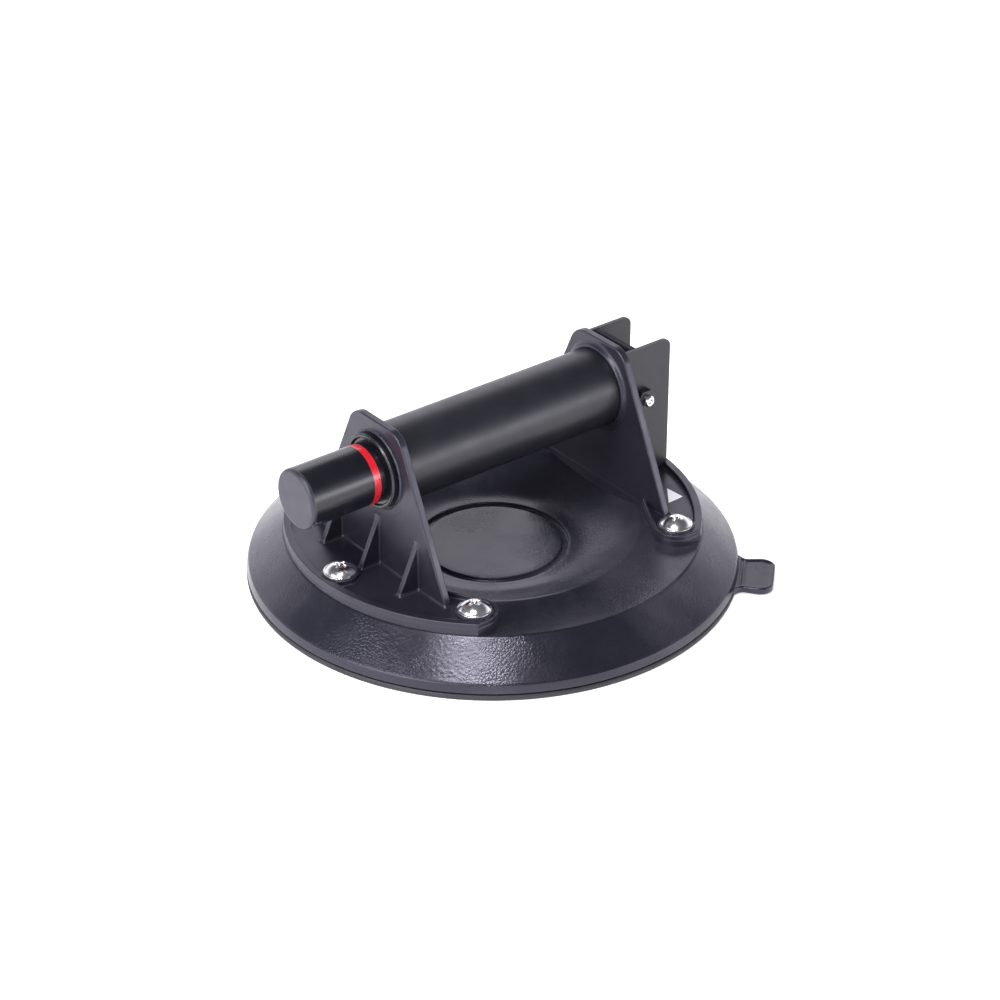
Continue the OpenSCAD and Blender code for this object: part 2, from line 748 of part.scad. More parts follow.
rubber_pad();
lip_seal();
backing_plate();
threaded_inserts();
front_bracket();
rear_bracket();
foot_screws();
grip_tube();
pump_barrel();
guide_bush();
bezel_nut();
plunger_tube();
plunger_cap();
indicator_band();
piston();
piston_seal();
exhaust_valve();
exhaust_cage();
return_spring();
valve_block();
barrel_seal();
inlet_valve();
inlet_spring();
inlet_retainer();
air_pipe();
manifold();
manifold_screws();
release_stem();
stem_seal();
stem_spring();
lever_guard();
guard_screws();
release_lever();
lever_bolt();
lever_nut();
vacuum_hose();
hose_clips();
port_fitting();
port_seal();
port_filter();
blank_label();
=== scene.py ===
"""Looks for the hand-held vacuum suction cup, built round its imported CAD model.

Blender works in metres in the model's own frame: the pad's sealing plane is z = 0, +Z is up,
and the handle's axis runs along X with the pump plunger at the -X end. The shapes below are
worked out in millimetres and scaled by MM when their meshes are made.
"""
import json
import math

import bpy
import numpy as np
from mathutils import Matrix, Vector, noise


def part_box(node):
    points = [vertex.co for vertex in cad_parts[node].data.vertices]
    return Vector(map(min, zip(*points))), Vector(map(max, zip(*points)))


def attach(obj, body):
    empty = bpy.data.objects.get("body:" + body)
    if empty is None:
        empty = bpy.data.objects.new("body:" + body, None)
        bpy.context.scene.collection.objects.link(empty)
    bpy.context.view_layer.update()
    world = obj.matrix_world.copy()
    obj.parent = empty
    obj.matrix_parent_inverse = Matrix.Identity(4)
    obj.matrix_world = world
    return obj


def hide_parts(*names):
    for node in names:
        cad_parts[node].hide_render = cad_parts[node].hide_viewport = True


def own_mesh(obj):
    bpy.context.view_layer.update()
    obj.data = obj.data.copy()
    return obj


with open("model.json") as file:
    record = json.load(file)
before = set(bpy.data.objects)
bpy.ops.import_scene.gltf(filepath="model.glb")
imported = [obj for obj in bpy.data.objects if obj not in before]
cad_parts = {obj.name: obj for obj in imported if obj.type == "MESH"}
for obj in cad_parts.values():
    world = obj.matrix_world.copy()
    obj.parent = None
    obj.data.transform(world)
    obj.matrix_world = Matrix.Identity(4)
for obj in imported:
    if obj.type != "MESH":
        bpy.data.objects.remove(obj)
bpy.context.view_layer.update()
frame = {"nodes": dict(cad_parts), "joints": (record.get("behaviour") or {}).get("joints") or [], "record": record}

MM = 0.001


# ---------------------------------------------------------------- sizes, from the frame
def box_mm(node):
    """Lowest and highest corner of a CAD node, in millimetres."""
    low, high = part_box(node)
    return np.array(low) / MM, np.array(high) / MM


PAD_R = box_mm("lip_seal")[1][0]
DECK_Z = box_mm("rubber_pad")[1][2]
TAB_BOTTOM = box_mm("rubber_pad")[0][2]
FLOOR_Z = box_mm("lever_guard")[0][2]
FOOT_R = -box_mm("front_bracket")[0][0]
SUPPORT_TOP = box_mm("front_bracket")[1][2]
SUPPORT_BACK = box_mm("lever_guard")[0][0]
GRIP_LOW, GRIP_HIGH = box_mm("grip_tube")
AXIS_Z = (GRIP_LOW[2] + GRIP_HIGH[2]) / 2
GRIP_R = (GRIP_HIGH[2] - GRIP_LOW[2]) / 2
SUPPORT_X = GRIP_HIGH[0] - 1.6
BORE_R = (box_mm("pump_barrel")[1][2] - box_mm("pump_barrel")[0][2]) / 2
HEAD_TOP = box_mm("foot_screws")[1][2]
SCREW_BOTTOM = box_mm("foot_screws")[0][2]

# Pad profile
DISH_Z = 9.7
DISH_R = 33
DECK_INNER_R = 60
DISH_TURN = math.radians(72)
GROOVE_R = 29.6
GROOVE_W = 3.4
GROOVE_H = 1.4
SKIRT_Z = 7
CHAMBER_Z = 3.4
LIP_H = 2.3
LIP_INNER_R = 88
PLATE_R = 83
PLATE_BOTTOM = 5
PLATE_TOP = 7.5
TAB_ANGLE = math.radians(-46)
TAB_REACH = 14.4

# Feet and supports
SUPPORT_T = SUPPORT_BACK - SUPPORT_X
RIM_TOP = FLOOR_Z + 2.2
OUTER_RIM_W = 3.2
EDGE_RIM_W = 1.2
BOSS_R = 9
WAIST_Y = 30
END_SCREW = (51, 54)
MID_SCREW_X = 75.4
HEAD_R = 6.65
HEAD_H = 3.5
HEAD_SEAT_Z = HEAD_TOP - HEAD_H
SCREW_PLACES = [(side * x, y) for side in (-1, 1)
                for x, y in ((MID_SCREW_X, 0), END_SCREW, (END_SCREW[0], -END_SCREW[1]))]
SUPPORT_HALF_W = 43.7
SUPPORT_TAPER = 0.462
CORNER_R = 5
GUSSET_Y = 25.4
GUSSET_T = 2.4
GUSSET_H = 20.5
GUSSET_REACH = 9
FOOT_SINK = 0.3
VOXEL = 0.45

# Relief of the leathery skirt
GRAIN_CELL = 1.5
GRAIN_DEPTH = 0.11
GRAIN_PATCH = 16
GRAIN_STEP = 0.42
PAD_COLUMNS = 1080


# ---------------------------------------------------------------- materials
def noise_texture(tree, place, scale, detail=3.0, rough=0.5):
    node = tree.nodes.new("ShaderNodeTexNoise")
    node.inputs["Scale"].default_value = scale
    node.inputs["Detail"].default_value = detail
    node.inputs["Roughness"].default_value = rough
    tree.links.new(place, node.inputs["Vector"])
    return node.outputs["Fac"]


def remap(tree, value, low, high, out_low, out_high):
    node = tree.nodes.new("ShaderNodeMapRange")
    numbers = (low, high, out_low, out_high)
    for name, number in zip(("From Min", "From Max", "To Min", "To Max"), numbers):
        node.inputs[name].default_value = number
    tree.links.new(value, node.inputs["Value"])
    return node.outputs["Result"]


def multiply(tree, first, second):
    node = tree.nodes.new("ShaderNodeMath")
    node.operation = "MULTIPLY"
    for socket, value in zip(node.inputs, (first, second)):
        if isinstance(value, float):
            socket.default_value = value
        else:
            tree.links.new(value, socket)
    return node.outputs[0]


def mix_colour(tree, share, first, second):
    node = tree.nodes.new("ShaderNodeMix")
    node.data_type = "RGBA"
    share_socket, first_socket, second_socket = node.inputs[0], node.inputs[6], node.inputs[7]
    for socket, colour in ((first_socket, first), (second_socket, second)):
        if isinstance(colour, tuple):
            socket.default_value = (*colour, 1)
        else:
            tree.links.new(colour, socket)
    tree.links.new(share, share_socket)
    return node.outputs[2]


def edge_mask(tree, radius):
    """1 along sharp edges and 0 on flat faces."""
    rounded = tree.nodes.new("ShaderNodeBevel")
    rounded.samples = 4
    rounded.inputs["Radius"].default_value = radius
    flat = tree.nodes.new("ShaderNodeNewGeometry")
    dot = tree.nodes.new("ShaderNodeVectorMath")
    dot.operation = "DOT_PRODUCT"
    tree.links.new(rounded.outputs["Normal"], dot.inputs[0])
    tree.links.new(flat.outputs["Normal"], dot.inputs[1])
    return remap(tree, dot.outputs["Value"], 0.995, 0.9, 0.0, 1.0)


def finish(name, base, patch, roughness, spread=0.06, metallic=0.0, specular=0.5, patch_scale=60.0,
           grain=900.0, depth=0.02, wear=None, coat=0.0, tint=(1, 1, 1), haze_and_painted_sheen=None, pebble=0.0):
    """A material: two colours in patches, uneven roughness, a fine grain of the given depth in
    millimetres, lighter worn edges where wear is a colour, a pale haze in cloudy patches where a
    haze colour is given, partly rubber bloom and partly a painted sheen that stands in for lamp
    reflections, and patches of a leather pattern of the depth pebble."""
    material = bpy.data.materials.new(name)
    material.use_nodes = True
    tree = material.node_tree
    shader = tree.nodes["Principled BSDF"]
    place = tree.nodes.new("ShaderNodeTexCoord").outputs["Object"]
    patches = remap(tree, noise_texture(tree, place, patch_scale), 0.35, 0.65, 0.0, 1.0)
    colour = mix_colour(tree, patches, base, patch)
    rough = remap(tree, noise_texture(tree, place, patch_scale * 3.1), 0.3, 0.7,
                  roughness - spread, roughness + spread)
    # Pale haze in cloudy patches: partly rubber bloom, partly a painted sheen standing in for lamp reflections.
    if haze_and_painted_sheen:
        cloud = remap(tree, noise_texture(tree, place, 11.0, 5.0, 0.55), 0.5, 0.78, 0.0, 0.8)
        colour = mix_colour(tree, cloud, colour, haze_and_painted_sheen)
    if wear:
        broken = remap(tree, noise_texture(tree, place, 260.0), 0.4, 0.6, 0.15, 0.7)
        colour = mix_colour(tree, multiply(tree, edge_mask(tree, 0.5 * MM), broken), colour, wear)
    bump = tree.nodes.new("ShaderNodeBump")
    bump.inputs["Distance"].default_value = depth * MM
    tree.links.new(noise_texture(tree, place, grain, 4.0, 0.6), bump.inputs["Height"])
    if pebble:
        cells = tree.nodes.new("ShaderNodeTexVoronoi")
        cells.feature = "DISTANCE_TO_EDGE"
        cells.inputs["Scale"].default_value = 800.0
        tree.links.new(place, cells.inputs["Vector"])
        ridges = remap(tree, cells.outputs["Distance"], 0.0, 0.25, 0.0, 1.0)
        where = remap(tree, noise_texture(tree, place, 45.0), 0.42, 0.6, 0.1, 1.0)
        leather = tree.nodes.new("ShaderNodeBump")
        leather.inputs["Distance"].default_value = pebble * MM
        tree.links.new(multiply(tree, ridges, where), leather.inputs["Height"])
        tree.links.new(bump.outputs["Normal"], leather.inputs["Normal"])
        bump = leather
    tree.links.new(bump.outputs["Normal"], shader.inputs["Normal"])
    tree.links.new(colour, shader.inputs["Base Color"])
    tree.links.new(rough, shader.inputs["Roughness"])
    shader.inputs["Metallic"].default_value = metallic
    shader.inputs["Specular IOR Level"].default_value = specular
    shader.inputs["Specular Tint"].default_value = (*tint, 1)
    shader.inputs["Coat Weight"].default_value = coat
    return material


LILAC = (0.90, 0.88, 1.0)
FINISHES = {
    # The pad rubber's pale haze is partly a painted sheen, standing in for lamp reflections on the skirt.
    "pad_rubber": finish("pad_rubber", (0.008, 0.008, 0.013), (0.012, 0.012, 0.018), 0.25, 0.05,
                         patch_scale=22.0, grain=1500.0, depth=0.010, tint=LILAC,
                         haze_and_painted_sheen=(0.060, 0.058, 0.066), pebble=0.035),
    "seal_rubber": finish("seal_rubber", (0.010, 0.010, 0.013), (0.016, 0.016, 0.019), 0.6,
                          grain=1300.0, depth=0.02),
    "moulding": finish("moulding", (0.011, 0.0105, 0.016), (0.015, 0.0145, 0.021), 0.33, 0.05,
                       patch_scale=30.0, grain=2200.0, depth=0.008, tint=LILAC,
                       wear=(0.10, 0.10, 0.125)),
    "black_metal": finish("black_metal", (0.006, 0.006, 0.010), (0.009, 0.009, 0.013), 0.39, 0.04,
                          patch_scale=40.0, grain=2600.0, depth=0.006, wear=(0.09, 0.09, 0.10)),
    "cap_plastic": finish("cap_plastic", (0.018, 0.018, 0.024), (0.023, 0.023, 0.030), 0.4,
                          grain=2600.0, depth=0.012, tint=LILAC, wear=(0.11, 0.11, 0.13)),
    "red_band": finish("red_band", (0.56, 0.009, 0.018), (0.48, 0.008, 0.015), 0.26, coat=0.5,
                       grain=800.0, depth=0.004),
    "chrome": finish("chrome", (0.86, 0.85, 0.85), (0.80, 0.79, 0.79), 0.2, 0.05, metallic=1.0,
                     patch_scale=180.0, grain=1800.0, depth=0.004),
    "steel": finish("steel", (0.55, 0.56, 0.58), (0.48, 0.49, 0.51), 0.3, 0.08, metallic=1.0,
                    patch_scale=140.0, grain=1400.0, depth=0.006),
    "brass": finish("brass", (0.62, 0.44, 0.18), (0.52, 0.36, 0.14), 0.3, 0.08, metallic=1.0,
                    patch_scale=160.0, grain=1400.0, depth=0.005),
    "pale_plastic": finish("pale_plastic", (0.62, 0.60, 0.54), (0.56, 0.54, 0.48), 0.42,
                           grain=1600.0, depth=0.008),
    "label": finish("label", (0.97, 0.97, 0.97), (0.93, 0.93, 0.93), 0.4, grain=2000.0,
                    depth=0.004),
}
POLISHED = finish("polished_tube", (0.004, 0.004, 0.007), (0.006, 0.006, 0.009), 0.25, 0.03,
                  patch_scale=40.0, grain=2600.0, depth=0.004, wear=(0.04, 0.04, 0.045))
DULL = finish("dull_lever", (0.005, 0.005, 0.008), (0.007, 0.007, 0.010), 0.5, 0.05, specular=0.12,
              patch_scale=40.0, grain=2600.0, depth=0.008, wear=(0.03, 0.03, 0.035))
SLOTS = {row["node"]: row["material_slot"] for row in frame["record"]["subparts"]}


# ---------------------------------------------------------------- mesh helpers
def add_piece(name, points, faces, node, body="base", replace=True):
    """A new smooth piece in a CAD node's material, which takes the node's place unless replace is
    false; points are in millimetres."""
    mesh = bpy.data.meshes.new(name)
    mesh.from_pydata((np.asarray(points) * MM).tolist(), [], faces)
    mesh.validate()
    mesh.shade_smooth()
    piece = bpy.data.objects.new(name, mesh)
    bpy.context.scene.collection.objects.link(piece)
    mesh.materials.append(FINISHES[SLOTS[node]])
    if replace:
        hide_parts(node)
    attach(piece, body)
    return piece


def grid_faces(rows, columns, wrap_rows=False, start=0):
    """Quads of a grid whose columns wrap round; vertex (i, j) is start + i * columns + j."""
    faces = []
    for i in range(rows if wrap_rows else rows - 1):
        low, high = start + i * columns, start + (i + 1) % rows * columns
        for j in range(columns):
            k = (j + 1) % columns
            faces.append((low + j, low + k, high + k, high + j))
    return faces


def rounded_path(corners, step=15):
    """An outline through corners [u, v, radius], with each corner turned into an arc."""
    path = []
    count = len(corners)
    for i, (u, v, radius) in enumerate(corners):
        here = np.array([u, v], float)
        if radius <= 0 or i in (0, count - 1):
            path.append(here)
            continue
        before = np.array(corners[i - 1][:2], float) - here
        after = np.array(corners[i + 1][:2], float) - here
        before, length_before = before / np.linalg.norm(before), np.linalg.norm(before)
        after, length_after = after / np.linalg.norm(after), np.linalg.norm(after)
        half = math.acos(np.clip(before @ after, -1, 1)) / 2
        reach = min(radius / math.tan(half), 0.49 * length_before, 0.49 * length_after)
        radius = reach * math.tan(half)
        middle = before + after
        centre = here + middle / np.linalg.norm(middle) * radius / math.sin(half)
        turn = math.pi - 2 * half
        pieces = max(2, math.ceil(math.degrees(turn) / step))
        first = here + before * reach - centre
        cross = before[0] * after[1] - before[1] * after[0]
        sign = -1 if cross > 0 else 1
        for k in range(pieces + 1):
            angle = sign * turn * k / pieces
            c, s = math.cos(angle), math.sin(angle)
            path.append(centre + np.array([c * first[0] - s * first[1], s * first[0] + c * first[1]]))
    return np.array(path)


def turned(path, columns, centre=(0, 0), along="z"):
    """Points and faces of an outline [radius, height] turned about an axis."""
    angles = np.arange(columns) * 2 * math.pi / columns
    radius, height = path[:, :1], np.repeat(path[:, 1:], columns, 1)
    a, b = radius * np.cos(angles), radius * np.sin(angles)
    if along == "z":
        points = np.stack([a + centre[0], b + centre[1], height], -1)
    elif along == "y":
        points = np.stack([b + centre[0], height, a + centre[1]], -1)
    else:
        points = np.stack([height, a + centre[0], b + centre[1]], -1)
    return points.reshape(-1, 3), grid_faces(len(path), columns)


def closed_ring(name, node, corners, columns, centre=(0, 0), along="z", body="base"):
    """A turned ring whose outline [radius, height, corner radius] closes on itself."""
    path = rounded_path([*corners[-1:], *corners, *corners[:1]])[1:-1]
    points, _ = turned(path, columns, centre, along)
    return add_piece(name, points, grid_faces(len(path), columns, True), node, body)


# ---------------------------------------------------------------- pad
def dish_height(radius):
    """Height of the pad's top between its middle and the edge of its deck."""
    share = np.clip((radius - DISH_R) / (DECK_INNER_R - DISH_R), 0, 1)
    return DISH_Z + (DECK_Z - DISH_Z) * (np.sin(DISH_TURN * share) / math.sin(DISH_TURN)) ** 2


def pad_outline():
    """Outline [radius, height] of the pad, from the middle of its top round to its underside."""
    inner, outer = GROOVE_R - GROOVE_W / 2, GROOVE_R + GROOVE_W / 2
    bottom = DISH_Z - GROOVE_H
    start = rounded_path([[0.01, DISH_Z, 0], [inner, DISH_Z, 0.3], [inner + 0.3, bottom, 0.4],
                          [outer - 0.3, bottom, 0.4], [outer, DISH_Z, 0.3], [DISH_R, DISH_Z, 0]])
    radii = np.linspace(DISH_R + 0.8, DECK_INNER_R - 0.4, 44)
    dish = np.stack([radii, dish_height(radii)], 1)
    rest = rounded_path([
        [DECK_INNER_R + 0.4, DECK_Z, 0], [DECK_INNER_R + 1, DECK_Z, 0],
        [FOOT_R - 0.3, DECK_Z, 0.6], [FOOT_R + 0.6, DECK_Z - 0.4, 0.5],
        [PAD_R - 1.5, SKIRT_Z, 0.8], [PAD_R - 0.9, SKIRT_Z - 0.6, 0.3], [PAD_R - 0.1, 3.3, 0.4],
        [PAD_R - 0.4, 2.9, 0.2], [PAD_R - 1.7, 2.9, 0.2], [PAD_R - 1.7, LIP_H, 0.1],
        [LIP_INNER_R, LIP_H, 0.3], [LIP_INNER_R - 2, CHAMBER_Z, 0.4]])
    rings = []
    for ring in (72, 56, 40, 24):
        rings += [[ring + 1, CHAMBER_Z, 0.2], [ring + 0.9, LIP_H, 0.4], [ring - 0.9, LIP_H, 0.4],
                  [ring - 1, CHAMBER_Z, 0.2]]
    under = rounded_path([[74, CHAMBER_Z, 0], *rings, [0.01, CHAMBER_Z, 0]])
    return np.concatenate([start, dish, rest, under])


def pad():
    """The moulded rubber body, with its leathery skirt and the cavity round its plate."""
    path = pad_outline()
    dense = [path[0]]
    for a, b in zip(path[:-1], path[1:]):
        on_skirt = min(a[0], b[0]) > FOOT_R and min(a[1], b[1]) > SKIRT_Z - 1
        count = max(1, math.ceil(np.linalg.norm(b - a) / (GRAIN_STEP if on_skirt else 3.0)))
        dense += [a + (b - a) * k / count for k in range(1, count + 1)]
    points, faces = turned(np.array(dense), PAD_COLUMNS)
    radius = np.hypot(points[:, 0], points[:, 1])
    slope = math.atan2(DECK_Z - SKIRT_Z, PAD_R - FOOT_R)
    outward = np.stack([points[:, 0] / radius * math.sin(slope),
                        points[:, 1] / radius * math.sin(slope),
                        np.full(len(points), math.cos(slope))], 1)
    on_skirt = (radius > FOOT_R + 0.7) & (radius < PAD_R - 1.6) & (points[:, 2] > SKIRT_Z - 0.5)
    fade = np.clip(np.minimum(radius - FOOT_R - 0.7, PAD_R - 1.6 - radius) / 1.2, 0, 1)
    lift = np.zeros(len(points))
    for i in np.flatnonzero(on_skirt):
        place = Vector(points[i])
        near = noise.voronoi(place / GRAIN_CELL)[0]
        patch = 0.5 + 0.5 * noise.noise(place / GRAIN_PATCH)
        lift[i] = (near[1] - near[0] - 0.35) * GRAIN_DEPTH * (0.3 + 0.7 * patch)
    points += outward * (lift * fade)[:, None]
    top, bottom, edge = PLATE_TOP + 0.02, PLATE_BOTTOM - 0.02, PLATE_R + 0.05
    cavity = rounded_path([[0.01, top, 0], [edge, top, 0.2], [edge, bottom, 0.2], [0.01, bottom, 0]])
    cavity_points, _ = turned(cavity, 180)
    faces = [face[::-1] for face in faces]
    faces += grid_faces(len(cavity), 180, start=len(points))
    add_piece("pad_body", np.concatenate([points, cavity_points]), faces, "rubber_pad")


def smooth_step(value, low, high):
    """0 below low and 1 above high, with a smooth change between them."""
    share = np.clip((value - low) / (high - low), 0, 1)
    return share * share * (3 - 2 * share)


def pull_tab():
    """A flat tongue with a raised border, flared where it leaves the pad."""
    top, half = 3.6, 11.8
    corner, edge = 5.5, 0.7
    start = PAD_R - 2.4
    end = PAD_R + TAB_REACH
    stations = np.concatenate([np.linspace(start, end - corner, 34)[:-1],
                               end - corner + corner * np.sin(np.linspace(0, 1, 22) * np.pi / 2)])
    across = np.linspace(-1, 1, 57)
    across = np.sign(across) * (1 - (1 - np.abs(across)) ** 1.35)
    flare = 4.2 * np.clip((PAD_R + 3 - stations) / 5, 0, 1) ** 2
    waist = -0.8 * (1 - smooth_step(stations, PAD_R + 2, end - corner))
    bend = np.clip(stations - (end - corner), 0, corner)
    widths = half + flare + waist - corner + np.sqrt(np.maximum(corner ** 2 - bend ** 2, 0))
    u = np.repeat(stations[:, None], len(across), 1)
    v = widths[:, None] * across[None, :]
    inset = np.minimum(widths[:, None] - np.abs(v), end - u)
    rounding = edge - np.sqrt(np.maximum(edge ** 2 - np.clip(edge - inset, 0, edge) ** 2, 0))
    border = 1 - smooth_step(inset, 1.5, 1.9)
    root = 1 - smooth_step(u, PAD_R + 2.2, PAD_R + 2.7)
    channel = smooth_step(u, PAD_R + 0.3, PAD_R + 0.7) * (1 - smooth_step(u, PAD_R + 1.3, PAD_R + 1.7))
    surface = top - 0.45 + 0.45 * np.maximum(border, root) - 0.4 * channel * (1 - border) - rounding
    grain = np.array([noise.noise(Vector((a, b, 0)) / 0.9) for a, b in zip(u.ravel(), v.ravel())])
    surface += 0.03 * grain.reshape(u.shape)
    base = TAB_BOTTOM + rounding
    c, s = math.cos(TAB_ANGLE), math.sin(TAB_ANGLE)
    x, y = c * u - s * v, s * u + c * v
    rows, columns = u.shape
    points = np.concatenate([np.stack([x, y, surface], -1).reshape(-1, 3),
                             np.stack([x, y, base], -1).reshape(-1, 3)])
    faces = []
    under = rows * columns
    for i in range(rows - 1):
        for j in range(columns - 1):
            a = i * columns + j
            faces.append((a, a + columns, a + columns + 1, a + 1))
            faces.append(tuple(under + k for k in (a, a + 1, a + columns + 1, a + columns)))
    border_loop = ([i * columns for i in range(rows)]
                   + [(rows - 1) * columns + j for j in range(1, columns)]
                   + [i * columns + columns - 1 for i in range(rows - 2, -1, -1)]
                   + list(range(columns - 2, 0, -1)))
    for a, b in zip(border_loop, border_loop[1:] + border_loop[:1]):
        faces.append((b, a, under + a, under + b))
    add_piece("pull_tab", points, faces, "rubber_pad", replace=False)


def seals():
    """Soft rings, discs and the hose, each with rounded edges."""
    closed_ring("lip_ring", "lip_seal", [
        [LIP_INNER_R, LIP_H, 0.1], [LIP_INNER_R + 1.2, 0.9, 0.5], [LIP_INNER_R + 4, 0.02, 1.5],
        [PAD_R - 0.4, 0.02, 0.2], [PAD_R, 0.4, 0.3], [PAD_R, 1.7, 0.3],
        [PAD_R - 0.5, LIP_H, 0.15]], 720)
    for name, node, body, inner in (("piston_ring", "piston_seal", "plunger", 11.66),
                                    ("barrel_ring", "barrel_seal", "base", 11.86),
                                    ("stem_ring", "stem_seal", "base", 1.46)):
        low, high = box_mm(node)
        outer = (high[1] - low[1]) / 2
        width = high[0] - low[0]
        centre = ((low[1] + high[1]) / 2, (low[2] + high[2]) / 2)
        closed_ring(name, node, [[inner, low[0], 0.2], [outer, low[0], width * 0.4],
                                 [outer, high[0], width * 0.4], [inner, high[0], 0.2]],
                    96, centre, "x", body)
    for name, node, body in (("exhaust_disc", "exhaust_valve", "exhaust_disc"),
                             ("inlet_disc", "inlet_valve", "inlet_disc")):
        low, high = box_mm(node)
        radius = (high[1] - low[1]) / 2
        path = rounded_path([[0.01, high[0], 0], [radius, high[0], 0.35], [radius, low[0], 0.35],
                             [0.01, low[0], 0]])
        points, faces = turned(path, 72, ((low[1] + high[1]) / 2, (low[2] + high[2]) / 2), "x")
        add_piece(name, points, faces, node, body)
    low, high = box_mm("port_seal")
    centre = ((low[0] + high[0]) / 2, (low[1] + high[1]) / 2)
    closed_ring("port_ring", "port_seal", [[3.6, low[2], 0.3], [3.6, high[2], 0.3],
                                           [5.4, high[2], 0.5], [5.4, low[2], 0.5]], 72, centre)
    low, high = box_mm("vacuum_hose")
    outer = (high[0] - low[0]) / 2
    closed_ring("hose", "vacuum_hose", [[1.62, low[2], 0.2], [1.62, high[2], 0.2],
                                        [outer, high[2], 0.3], [outer, low[2], 0.3]], 48, centre)


# ---------------------------------------------------------------- screws and springs
def bezel():
    """Ring on the end of the barrel, dished round the plunger."""
    low, high = box_mm("bezel_nut")
    front, back, outer = low[0], high[0], (high[1] - low[1]) / 2
    ring = closed_ring("bezel", "bezel_nut", [
        [12.6, front + 1.1, 0.1], [13.5, front + 1.0, 0.2], [14.0, front, 0.25], [14.9, front, 0.2],
        [15.05, front + 0.35, 0.1], [15.2, front + 0.35, 0.1], [15.3, front + 0.15, 0.1],
        [outer, front + 0.4, 0.2], [outer, back, 0], [14.22, back, 0], [14.22, front + 1.25, 0],
        [12.6, front + 1.25, 0]], 180, (0, AXIS_Z), "x")
    ring.data.materials[0] = POLISHED


def bolt():
    """Lever bolt with a domed head at one end and a dimpled tip at the other."""
    low, high = box_mm("lever_bolt")
    centre = ((low[0] + high[0]) / 2, (low[2] + high[2]) / 2)
    tip, head = low[1], high[1]
    path = rounded_path([[0.01, tip + 1.3, 0], [0.9, tip + 1.1, 0.3], [1.25, tip, 0.2],
                         [1.75, tip, 0.2], [2.45, tip + 0.7, 0.2], [2.45, head - 2.8, 0],
                         [4.4, head - 2.8, 0.2], [4.4, head - 1.0, 0.4], [3.2, head, 0.6],
                         [0.01, head, 0]])
    points, faces = turned(path, 64, centre, "y")
    add_piece("bolt", points, [face[::-1] for face in faces], "lever_bolt")


def foot_screws():
    """Polished truss-head screws with a cross recess, each turned by its own angle."""
    dome_r = (HEAD_R ** 2 + HEAD_H ** 2) / (2 * HEAD_H)
    columns = 120
    radii = np.concatenate([[0.01], np.linspace(0.12, 3.1, 26), np.linspace(3.5, HEAD_R - 0.35, 12)])
    heights = HEAD_SEAT_Z + HEAD_H - dome_r + np.sqrt(dome_r ** 2 - radii ** 2)
    edge_z = HEAD_SEAT_Z + 0.02
    lower = rounded_path([[HEAD_R - 0.35, heights[-1], 0], [HEAD_R, edge_z + 0.45, 0.25],
                          [HEAD_R - 0.05, edge_z, 0.15], [2.95, edge_z, 0.2],
                          [2.95, SCREW_BOTTOM + 0.6, 0.3], [2.2, SCREW_BOTTOM, 0.1],
                          [0.01, SCREW_BOTTOM, 0]])
    path = np.concatenate([np.stack([radii, heights], 1), lower[1:]])
    points, faces = turned(path, columns)
    x, y, z = points.T
    recess = np.zeros(len(points))
    for p, q in ((x, y), (y, x)):
        side = smooth_step(0.62 - 0.06 * np.abs(p) - np.abs(q), -0.1, 0.16)
        length = smooth_step(2.65 - np.abs(p), -0.05, 0.35)
        recess = np.maximum(recess, side * length * (1.75 - 0.34 * np.abs(p)))
    recess = np.maximum(recess, 1.2 * smooth_step(1.25 - np.hypot(x, y), -0.2, 0.4))
    z -= np.where(z > HEAD_SEAT_Z + 1, recess, 0)
    shape = np.stack([x, y, z], 1)
    all_points, all_faces = [], []
    for index, (px, py) in enumerate(SCREW_PLACES):
        angle = math.radians(20 + 37 * index)
        c, s = math.cos(angle), math.sin(angle)
        turned_shape = np.stack([c * x - s * y + px, s * x + c * y + py, z], 1)
        all_faces += [tuple(v + index * len(shape) for v in face[::-1]) for face in faces]
        all_points.append(turned_shape)
    add_piece("truss_screws", np.concatenate(all_points), all_faces, "foot_screws")


def coil(name, node, radius, wire, turns):
    """A compression spring along X with closed ends."""
    low, high = box_mm(node)
    y, z = (low[1] + high[1]) / 2, (low[2] + high[2]) / 2
    start, end = low[0] + wire, high[0] - wire
    count = int(turns * 26)
    share = np.linspace(0, 1, count + 1)
    angle = share * turns * 2 * math.pi
    flat = 0.75 / turns
    ramp = np.clip((share - flat) / (1 - 2 * flat), 0, 1)
    x = start + 2 * wire * (np.minimum(share, flat) + np.maximum(share - 1 + flat, 0)) / flat / 2 * 0.6
    x += ramp * (end - start - 1.2 * wire)
    centre = np.stack([x, y + radius * np.cos(angle), z + radius * np.sin(angle)], 1)
    radial = np.stack([np.zeros(count + 1), np.cos(angle), np.sin(angle)], 1)
    forward = np.gradient(centre, axis=0)
    forward /= np.linalg.norm(forward, axis=1)[:, None]
    side = np.cross(forward, radial)
    sections = 12
    around = np.arange(sections) * 2 * math.pi / sections
    points = (centre[:, None] + wire * (np.cos(around)[None, :, None] * radial[:, None]
                                        + np.sin(around)[None, :, None] * side[:, None]))
    faces = grid_faces(count + 1, sections)
    faces += [tuple(range(sections)), tuple(count * sections + k for k in reversed(range(sections)))]
    piece = add_piece(name, points.reshape(-1, 3), [face[::-1] for face in faces], node)
    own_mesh(piece)


def springs():
    """The three springs, each listed with its joint, an end and a travel in millimetres."""
    stroke = frame["joints"][0]["range_m"][1] / MM
    for name, node, radius, wire, turns, joint, end, travel in (
            ("main_spring", "return_spring", 7.4, 0.6, 11, "plunger_slide", 1, stroke),
            ("inlet_coil", "inlet_spring", 3.6, 0.2, 3, "inlet_lift", 0, 1.0),
            ("stem_coil", "stem_spring", 2.2, 0.22, 3, "stem_slide", 0, 2.3)):
        coil(name, node, radius, wire, turns)


# ---------------------------------------------------------------- moulded brackets
def fillet_join(a, b, radius):
    """Union of two signed distances with a fillet in the corner between them."""
    u, v = np.maximum(radius - a, 0), np.maximum(radius - b, 0)
    return np.maximum(radius, np.minimum(a, b)) - np.sqrt(u * u + v * v)


